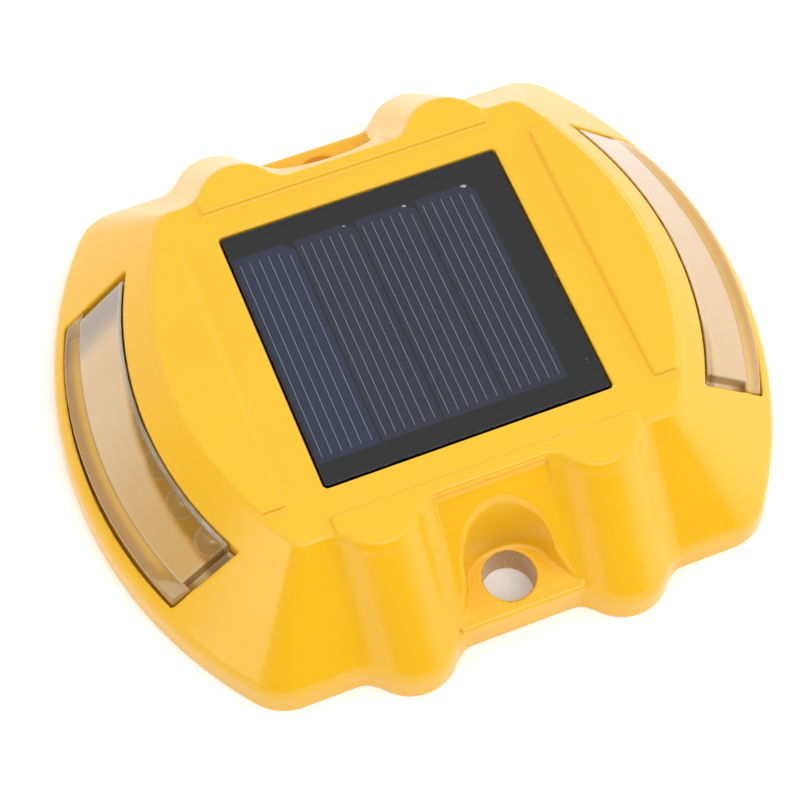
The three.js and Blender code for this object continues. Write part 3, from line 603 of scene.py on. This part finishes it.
def lens_clear():
    """Clear moulding: milky over its thick block, amber-tinted by the LEDs, with painted shade on
    its outer band, step, end face and lip, painted highlights at its lip, and painted light in
    the differing colours of the two lenses.
    """
    f = Finish("lens_clear")
    x, y, _ = f.place()
    radius = arc_radius(f, window_arc(WINDOW_TOP)[0])
    on_right = f.ramp(x, -0.001, 0.001)
    lean = f.math("MULTIPLY_ADD", y, 0.1, f.math("MULTIPLY", x, 0.03))
    wavy = f.math("MULTIPLY_ADD", f.noise(120, 2), 0.0012, f.math("ADD", radius, lean))
    over_leds = f.ramp(wavy, LED_ZONE_R[0] * MM, LED_ZONE_R[1] * MM)
    step = BLOCK_FOOT_R * MM
    outer_band = f.ramp(radius, step - 0.0001, step + 0.0001)
    on_block = f.math("MULTIPLY", over_leds, f.math("SUBTRACT", 1.0, outer_band))
    far = f.ramp(f.math("MULTIPLY_ADD", f.noise(150, 1), 0.003, y),
                 FAR_END_Y[0] * MM, FAR_END_Y[1] * MM)
    far_left = f.math("MULTIPLY", far, f.math("SUBTRACT", 1.0, on_right))
    haze = f.math("MULTIPLY_ADD", on_block, 0.70, 0.22)
    haze = f.math("MULTIPLY_ADD", outer_band, 0.35, haze, clamp=True)
    haze = f.math("MULTIPLY", haze, f.math("MULTIPLY_ADD", far_left, -0.35, 1.0))
    flaw = f.ramp(f.noise(700, 2), 0.72, 0.8, 0, 0.1)
    lip = f.ramp(radius, LIP_R[0] * MM, LIP_R[1] * MM)
    haze = f.math("MULTIPLY_ADD", lip, 0.4, f.math("ADD", haze, flaw), clamp=True)
    # painted shade: the outer band runs from lit gold by the step to shaded tan at its outer
    # edge, as its swelling top turns away from the light; each lens has its own lit colour
    band_lit_near = f.mix(on_right, (0.86, 0.50, 0.05), (0.98, 0.60, 0.12))
    band_shaded_far = f.mix(on_right, (0.50, 0.28, 0.07), (0.80, 0.47, 0.13))
    band = f.mix(f.ramp(radius, step + 0.0006, BAND_OUTER_R * MM), band_lit_near, band_shaded_far)
    # painted shade: the left lens's outer band darker towards its front end
    band = f.mix(f.ramp(y, -0.019, -0.026), band, f.mix(on_right, (0.52, 0.29, 0.04), band))
    # painted shade: a dark line in the crease where the outer band meets the block
    band = f.mix(f.ramp(radius, step + 0.0003, step + 0.0001), band, (0.55, 0.36, 0.16))
    grain = f.ramp(f.noise(90, 2), 0.3, 0.7)
    cool = f.mix(grain, (0.66, 0.44, 0.21), (0.69, 0.47, 0.24))
    # painted light: the left and right lenses, alike in fact, and their ends get different
    # colours for how each is lit and what it reflects: amber at the left lens's front,
    # lavender-beige at the right lens's back, grey at the left lens's far end
    warm = f.mix(f.ramp(y, -0.028, 0.004), (0.60, 0.36, 0.10), cool)
    warm = f.mix(on_right, warm, f.mix(grain, (0.60, 0.385, 0.17), (0.62, 0.40, 0.19)))
    warm = f.mix(f.math("MULTIPLY", f.ramp(y, 0.004, 0.024), on_right), warm, (0.60, 0.43, 0.26))
    warm = f.mix(far_left, warm, (0.50, 0.42, 0.32))
    warm = f.mix(over_leds, (0.95, 0.50, 0.03), warm)
    # painted shade and highlight at the lens's inner lip: a dark line for the shadow in the gap
    # to the housing, with grey-white glints on the left lens and a light line beside a dark one
    # on the right lens
    lip_glints = f.ramp(f.noise(700, 3, stretch=(1, 0.4, 1)), 0.4, 0.62)
    lip_glints = f.math("MULTIPLY", lip_glints, f.ramp(y, 0.004, -0.024, 0.25, 1))
    lip_shade_and_glint_left = f.mix(lip_glints, (0.36, 0.29, 0.20), (0.52, 0.51, 0.50))
    lip_shade_and_glint_right = f.mix(f.ramp(radius, LIP_SPLIT_R[0] * MM, LIP_SPLIT_R[1] * MM),
                      (0.66, 0.45, 0.25), (0.54, 0.39, 0.22))
    warm = f.mix(lip, warm, f.mix(on_right, lip_shade_and_glint_left, lip_shade_and_glint_right))
    # painted shade: the block's front end face, darker on the left lens than on the right
    end_face_shade = f.mix(on_right, (0.30, 0.20, 0.08), (0.46, 0.34, 0.17))
    warm = f.mix(f.math("LESS_THAN", y, -(BLOCK_Y - 0.06) * MM), warm, end_face_shade)
    warm = f.mix(f.math("LESS_THAN", y, -(BLOCK_Y + 0.1) * MM), warm, (0.58, 0.37, 0.11))
    milk = f.principled(f.mix(outer_band, warm, band), 0.3)
    through = f.node("BsdfTransparent", {"Color": (0.97, 0.92, 0.80, 1)}).outputs[0]
    facing, shine = f.outer_shine(1.5, 0.06)
    return f.done(f.layered(facing, f.layered(haze, through, milk), shine))


def lens_frost():
    """The lens's back and floor, frosted, amber as painted light from the yellow housing round
    it.
    """
    f = Finish("lens_frost")
    radius = arc_radius(f, window_arc(WINDOW_TOP)[0])
    # painted light: amber standing in for the yellow housing's light on the frosted plastic,
    # mottled at random
    tint = f.mix(f.ramp(radius, 0.0640, 0.0700), (0.80, 0.44, 0.04), (0.80, 0.46, 0.09))
    tint = f.mix(f.ramp(f.noise(300, 3), 0.3, 0.7, 0, 0.3), tint, (0.66, 0.38, 0.08))
    grain = f.bump(f.noise(1500, 2), 0.00003, 0.3)
    return f.done(f.principled(tint, 0.45, Normal=grain))


def bubble(name, colour, edge):
    """Clear plastic seen from outside: open in the middle, with a painted light rim then a
    painted dark outline at its edge.
    """
    f = Finish(name)
    rim = f.node("LayerWeight", {"Blend": edge}).outputs["Facing"]
    rim = f.math("MULTIPLY_ADD", f.noise(500, 2), 0.1, rim)
    # painted highlight and shade: by how squarely the surface faces the view, a light rim and
    # then a dark outline are painted on
    rim_glint_share = f.ramp(rim, 0.4, 0.8, 0.08, 0.95)
    rim_glint_and_shade = f.mix(f.ramp(rim, 0.84, 0.95), (1.0, 0.96, 0.90), (0.30, 0.21, 0.12))
    through = f.node("BsdfTransparent", {"Color": (*colour, 1)}).outputs[0]
    facing, shine = f.outer_shine(2.4, 0.08)
    shell = f.principled(rim_glint_and_shade, 0.1)
    return f.done(f.layered(facing, f.layered(rim_glint_share, through, shell), shine))


def clear_epoxy():
    """Poured clear resin over the cells, with dust specks near its right front corner."""
    f = Finish("clear_epoxy")
    x, y, _ = f.place()
    specks = f.ramp(f.noise(2300, 0), 0.80, 0.84)
    corner = f.ramp(f.math("SUBTRACT", x, f.math("MULTIPLY", y, 0.4)), 0.021, 0.034)
    patches = f.ramp(f.noise(200, 1), 0.5, 0.6)
    dust = f.math("MULTIPLY", specks, f.math("MULTIPLY", corner, patches), clamp=True)
    through = f.node("BsdfTransparent", {"Color": (0.9, 0.9, 0.92, 1)}).outputs[0]
    speck = f.principled((0.6, 0.6, 0.58), 0.6)
    wave = f.bump(f.noise(90, 1), 0.00005, 0.05)
    facing, shine = f.outer_shine(1.5, 0.03, Normal=wave)
    return f.done(f.layered(facing, f.layered(dust, through, speck), shine))


FIRST_STRIP_X = -13.45


def silicon():
    """Navy anti-reflection coat with the faint slanting grain of sawn wafers."""
    f = Finish("silicon_cell")
    grain = f.noise(4200, 2, stretch=(1, 0.25, 1))
    deep = f.mix(f.ramp(f.noise(70, 3), 0.3, 0.7), (0.008, 0.014, 0.036), (0.012, 0.018, 0.040))
    colour = f.mix(f.ramp(grain, 0.35, 0.75), deep, (0.0135, 0.0195, 0.042))
    first_strip = f.math("LESS_THAN", f.place()[0], FIRST_STRIP_X * MM)
    colour = f.mix(first_strip, colour, (0.011, 0.021, 0.060))
    gloss = f.ramp(grain, 0.3, 0.7, 0.44, 0.48)
    return f.done(f.principled(colour, gloss, Specular_IOR_Level=0.08))


coat = yellow_coat()
clear = lens_clear()
frost = lens_frost()
pocket_rim = bubble("pocket_wall", (0.95, 0.92, 0.86), 0.45)
led_clear = bubble("led_clear", (0.96, 0.95, 0.93), 0.4)
epoxy = clear_epoxy()
cell_blue = silicon()
silver = plain("silver_print", (0.44, 0.45, 0.47), 0.5, 2500, 0.000002, 0.15)
black_board = plain("black_board", (0.003, 0.003, 0.0035), 0.5, 600, 0.0000005,
                    Specular_IOR_Level=0.03)
adhesive = plain("white_adhesive", (0.72, 0.71, 0.67), 0.7, 500, 0.00005)
green_board = plain("green_board", (0.012, 0.12, 0.035), 0.35, 1500, 0.00001, 0.4)
black_plastic = plain("black_plastic", (0.014, 0.014, 0.016), 0.5, 1400, 0.00003, 0.35)
tinned = plain("tinned_metal", (0.55, 0.56, 0.58), 0.3, 1800, 0.00001, 0.25, Metallic=1.0)
zinc = plain("zinc_steel", (0.45, 0.46, 0.48), 0.35, 1500, 0.00002, 0.3, Metallic=1.0)
wrap = plain("battery_wrap", (0.03, 0.25, 0.09), 0.35, 700, 0.00001, 0.3)
rubber = plain("dark_rubber", (0.02, 0.02, 0.021), 0.8, 900, 0.00005, 0.4)
red_wire = plain("red_wire", (0.42, 0.012, 0.012), 0.45, 1200, 0.00001, 0.3)
black_wire = plain("black_wire", (0.01, 0.01, 0.011), 0.45, 1200, 0.00001, 0.3)

# ---------------------------------------------------------------- housing

HOUSING_GRID = 0.4
HOUSING_MARGIN = Vector((0.7, 0.7, 0.7))
low, high = (Vector(corner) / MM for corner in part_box("housing"))
points, quads = surface_net(
    housing_field, low - HOUSING_MARGIN, high + HOUSING_MARGIN, HOUSING_GRID, True,
)
housing = add_mesh("housing_casting", points, quads, [coat])
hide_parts("housing")

# ---------------------------------------------------------------- solar panel


def rounded_square(half, corner, steps=8):
    centre = half - corner
    outline = []
    for quarter, (sx, sy) in enumerate(((1, 1), (-1, 1), (-1, -1), (1, -1))):
        for i in range(steps + 1):
            angle = (quarter + i / steps) * math.pi / 2
            outline.append((sx * centre + corner * math.cos(angle),
                            sy * centre + corner * math.sin(angle)))
    return outline


BLACK_RIM = 0.5
RESIN_EDGE = ((0.0, 0.1), (0.05, 0.13), (0.12, 0.1), (0.22, 0.055), (0.36, 0.025),
              (0.55, 0.008), (0.85, 0.0))


def resin_slab(name, z0, z1):
    """Poured resin on black-edged board, its surface creeping up the recess wall."""
    part = bmesh.new()
    profile = [(BLACK_RIM, z0), (0.0, z0)]
    profile += [(inset, z1 + rise) for inset, rise in RESIN_EDGE]
    rings = []
    for inset, z in profile:
        outline = rounded_square(PANEL_HALF - inset, max(0.5 - inset, 0.15))
        rings.append([part.verts.new((x, y, z)) for x, y in outline])
    count = len(rings[0])
    for lower, upper in zip(rings, rings[1:]):
        for i in range(count):
            j = (i + 1) % count
            part.faces.new((lower[i], lower[j], upper[j], upper[i]))
    part.faces.new(rings[0][::-1])
    part.faces.new(rings[-1])
    builder = Builder()
    builder.take(part, 0)
    slab = sharpened(builder.piece(name, epoxy, black_board), 60)
    for face in slab.data.polygons:
        if face.normal.z < 0.3 and len(face.vertices) == 4:
            face.material_index = 1
    return slab


slab_low, slab_high = (Vector(corner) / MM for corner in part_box("panel_epoxy"))
slab = resin_slab("panel_resin", slab_low.z, slab_high.z)
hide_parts("panel_epoxy")

FINGERS = (0.95, 2.64, 4.33, 6.02, 7.72, 9.55)
FINGER_HALF = 0.04
FINGER_FOOT = 1
FINGER_END = 1.45
LAST_FINGER_END = 2.5
CHAMFER = 1.6
SOLDER_SIZE = {2: 0.28, 3: 0.42, 4: 0.6}
SCRAP = ((0.2, 1.0), (1.1, 0.6), (1.9, 0.9), (2.9, 1.1), (3.9, 0.5), (4.8, 0.9), (5.6, 0.7))


def solder_bit(strip, x, y, z, size):
    """A small torn scrap of solder at a cell's corner."""
    outline = [(x + size * reach * math.cos(turn), y + 0.7 * size * reach * math.sin(turn))
               for turn, reach in SCRAP]
    strip.prism(outline, z - 0.02, z + 0.07, 0.03, 1)


for number in range(1, 5):
    node = f"solar_cell_{number}"
    (x0, y0, z0), (x1, y1, z1) = (Vector(corner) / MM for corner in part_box(node))
    strip = Builder()
    strip.prism([(x0, y0), (x1, y0), (x1, y1 - CHAMFER), (x1 - CHAMFER, y1), (x0, y1)],
                z0, z1, 0.04)
    for offset in FINGERS:
        end = y1 - (LAST_FINGER_END if offset == FINGERS[-1] else FINGER_END)
        strip.box((x0 + offset - FINGER_HALF, y0 + FINGER_FOOT, z1 - 0.02),
                  (x0 + offset + FINGER_HALF, end, z1 + 0.015), 0.01, 1)
    if number in SOLDER_SIZE:
        solder_bit(strip, x1 - 1.7, y1 - 0.45, z1, SOLDER_SIZE[number])
    cell = sharpened(strip.piece(f"cell_strip_{number}", cell_blue, silver))
    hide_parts(node)

# ---------------------------------------------------------------- lenses and LEDs

LENS_GRID = 0.28
LENS_MARGIN = Vector((0.6, 0.6, 0.6))
low, high = (Vector(corner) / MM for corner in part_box("lens_right"))
points, quads = surface_net(lens_field, low - LENS_MARGIN, high + LENS_MARGIN, LENS_GRID)
centres = points[quads].mean(axis=1)
offset, _ = window_arc(WINDOW_TOP, FIT)
arc = np.hypot(centres[:, 0] + offset, centres[:, 1])
hidden = (centres[:, 2] < LENS_FLOOR_Z + 0.2) | (arc < LENS_INNER_R + 0.4)
hidden |= (centres[:, 2] < LENS_FLANGE[2] + 0.2) & (arc < LENS_FLANGE[0] + 0.2) & (
    np.abs(centres[:, 1]) > WINDOW_Y - 0.2)
pocket = np.zeros(len(quads), bool)
for led_y in led_ys():
    beyond = np.maximum(centres[:, 0] - led_x(led_y), 0)
    reach = np.sqrt(beyond ** 2 + (centres[:, 1] - led_y) ** 2 + (centres[:, 2] - LED_Z) ** 2)
    pocket |= np.abs(reach - LED_R - FIT) < 0.12
kinds = np.where(pocket, 2, np.where(hidden, 1, 0))
for word, end in (("right", 1), ("left", -1)):
    faces = quads if end > 0 else quads[:, ::-1]
    lens = add_mesh(f"lens_moulding_{word}", points * (end, 1, 1), faces,
                    [clear, frost, pocket_rim], kinds)
    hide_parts(f"lens_{word}")
    for i, led_y in enumerate(led_ys()):
        back = end * (led_x(led_y) - LED_BODY)
        lamp = Builder()
        dome = [(LED_R * math.cos(a), LED_BODY + LED_R * math.sin(a))
                for a in np.linspace(0, math.pi / 2, 10)[:-1]]
        lamp.turned([(0, 0), (2.75, 0), (2.9, 0.15), (2.9, 0.85), (2.8, 1), (LED_R, 1), *dome,
                     (0, LED_BODY + LED_R)], (back, led_y, LED_Z), (end, 0, 0), 40, 0)
        for side in (-1, 1):
            lead = led_y + side * LEAD_APART
            x0, x1 = sorted((end * LED_BOARD_X, back + end * LEAD_REACH[side]))
            lamp.box((x0, lead - LEAD_HALF, LED_Z - LEAD_HALF),
                     (x1, lead + LEAD_HALF, LED_Z + LEAD_HALF), 0.05, 1)
        lamp.turned([(0, 0), (0.5, 0), (0.95, 1.1), (0.8, 1.1), (0.4, 0.5), (0, 0.5)],
                    (back + end * 4.2, led_y - 0.45, LED_Z), (end, 0, 0), 18, 1)
        lamp = sharpened(lamp.piece(f"lamp_{word}_{i + 1}", led_clear, tinned))
        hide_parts(f"led_{word}_{i + 1}")

# ---------------------------------------------------------------- carried-over pieces

KEPT = {
    "panel_adhesive": adhesive, "panel_backing": black_board, "led_board": green_board,
    "controller_board": green_board, "controller_chip": black_plastic,
    "choke_coil": black_plastic, "capacitor": tinned, "solar_socket": black_plastic,
    "battery_socket": black_plastic, "battery_cell": wrap, "battery_holder": black_plastic,
    "battery_contact": tinned, "panel_wire_red": red_wire, "panel_wire_black": black_wire,
    "battery_wire_right": red_wire, "battery_wire_left": black_wire, "lamp_lead": black_wire,
    "base_plate": black_plastic, "base_seal": rubber, "cover_screw": zinc, "board_screw": zinc,
}
for name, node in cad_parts.items():
    for start, finish in KEPT.items():
        if name.startswith(start):
            for slot in node.material_slots:
                slot.material = finish
            edge = node.modifiers.new("edge", "BEVEL")
            edge.width = 0.1 * MM
            edge.segments = 2
            edge.angle_limit = math.radians(40)

# ---------------------------------------------------------------- stage

FLOOR_DROP = 0.0001
SIDE_LAMP_WAY = (-0.907, -0.243, 0.342)
CAMERA_LENS = 104.42
CAMERA_PLACE = (-0.07608, -0.18036, 0.35693)
CAMERA_TURN = (28.307, -0.298, -21.763)

floor_finish = Finish("floor")
floor_finish.done(floor_finish.principled((0.93, 0.93, 0.93), 0.9, Emission_Strength=0.12,
                                          Emission_Color=(1, 1, 1, 1)))
bpy.ops.mesh.primitive_plane_add(size=6)
floor = bpy.context.object
floor.name = "floor"
floor.location.z = -FLOOR_DROP
floor.data.materials.append(floor_finish.material)


def soft_light(name, place, aim, size, watts):
    lamp = bpy.data.lights.new(name, "AREA")
    lamp.shape = "DISK"
    lamp.size = size
    lamp.energy = watts
    light = bpy.data.objects.new(name, lamp)
    light.location = place
    light.rotation_euler = (Vector(aim) - Vector(place)).to_track_quat("-Z", "Y").to_euler()
    bpy.context.collection.objects.link(light)


soft_light("key", (0.14, -0.49, 0.79), (0, 0, 0), 0.8, 3.2)

world = bpy.data.worlds.new("studio")
world.use_nodes = True
sky = Finish("studio", world.node_tree)
x, y, z = sky.node("SeparateXYZ", {0: sky.node("TexCoord").outputs["Generated"]}).outputs
right_wall = sky.ramp(x, 0.3, 0.75, 0, 1.5)
back_wall = sky.ramp(y, 0.1, 0.7, 0, 1.2)
left_wall = sky.ramp(x, -0.5, -0.95, 0, 0.35)
walls = sky.math("MAXIMUM", sky.math("MAXIMUM", right_wall, back_wall), left_wall)
ceiling = sky.ramp(z, 0.42, 0.72)
toward = sky.math("ADD", sky.math("MULTIPLY", x, SIDE_LAMP_WAY[0]),
                  sky.math("MULTIPLY", y, SIDE_LAMP_WAY[1]))
toward = sky.math("MULTIPLY_ADD", z, SIDE_LAMP_WAY[2], toward)
side_lamp = sky.ramp(toward, 0.970, 0.982, 0, 2.6)
level = sky.math("ADD", side_lamp, sky.math(
    "ADD", sky.math("MULTIPLY", walls, sky.math("SUBTRACT", 1.0, ceiling)),
    sky.math("MULTIPLY_ADD", ceiling, 1.0, 0.02)))
background = world.node_tree.nodes["Background"]
background.inputs["Color"].default_value = (1, 1, 1, 1)
sky.tree.links.new(level, background.inputs["Strength"])
bpy.context.scene.world = world

camera_data = bpy.data.cameras.new("camera")
camera_data.lens = CAMERA_LENS
camera_data.sensor_width = 36
camera_data.clip_start = 0.01
camera = bpy.data.objects.new("camera", camera_data)
camera.location = CAMERA_PLACE
camera.rotation_euler = Euler([math.radians(a) for a in CAMERA_TURN])
bpy.context.collection.objects.link(camera)
bpy.context.scene.camera = camera
bpy.context.scene.view_settings.view_transform = "Standard"
